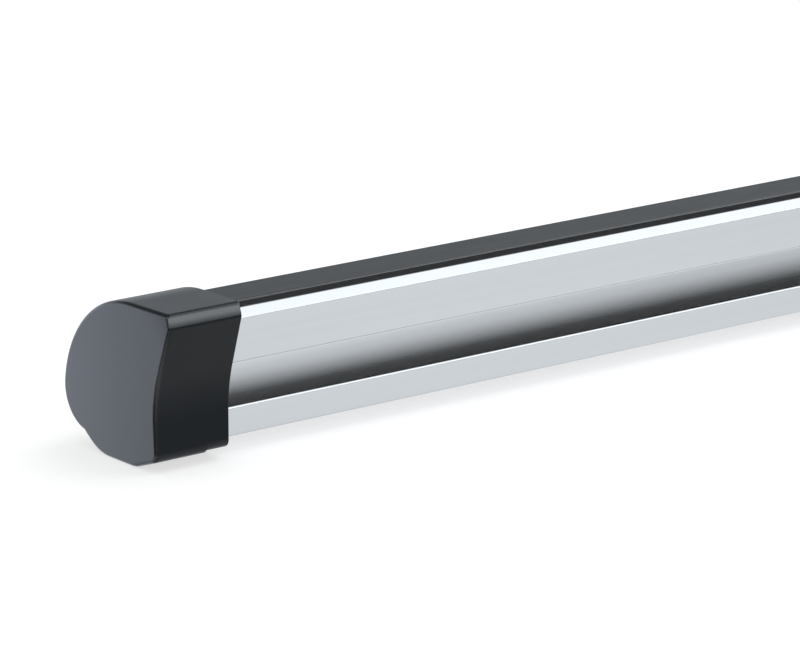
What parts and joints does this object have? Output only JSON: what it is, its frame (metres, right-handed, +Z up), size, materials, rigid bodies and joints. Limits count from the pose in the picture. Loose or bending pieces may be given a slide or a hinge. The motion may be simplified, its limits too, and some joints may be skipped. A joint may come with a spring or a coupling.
{
  "type": "roof rack crossbar",
  "caption": "Extruded aluminium crossbar with a T-slot, rubber top strip, foot channel and moulded black end caps.",
  "frame": {"origin": "on the surface that the end caps stand on, under the middle of the bar", "axes": "+X along the bar, towards the right end as seen from the grooved front; the grooved front looks to -Y and the round back to +Y; +Z is up, out of the load face"},
  "size_m": [1.206, 0.0478, 0.0433],
  "materials": {
    "anodised_aluminium": "satin anodised extrusion",
    "strip_rubber": "smooth extruded rubber, satin",
    "cap_plastic": "fine grained moulding, satin"
  },
  "bodies": {
    "bar": {"bar_profile": "anodised_aluminium", "top_strip": "strip_rubber"},
    "cap_left": {"end_cap_left": "cap_plastic"},
    "cap_right": {"end_cap_right": "cap_plastic"}
  },
  "joints": [
    {"name": "cap_left_pull", "type": "slide", "parent": "bar", "child": "cap_left", "axis": [-1, 0, 0], "range_m": [0, 0.06]},
    {"name": "cap_right_pull", "type": "slide", "parent": "bar", "child": "cap_right", "axis": [1, 0, 0], "range_m": [0, 0.06]}
  ]
}
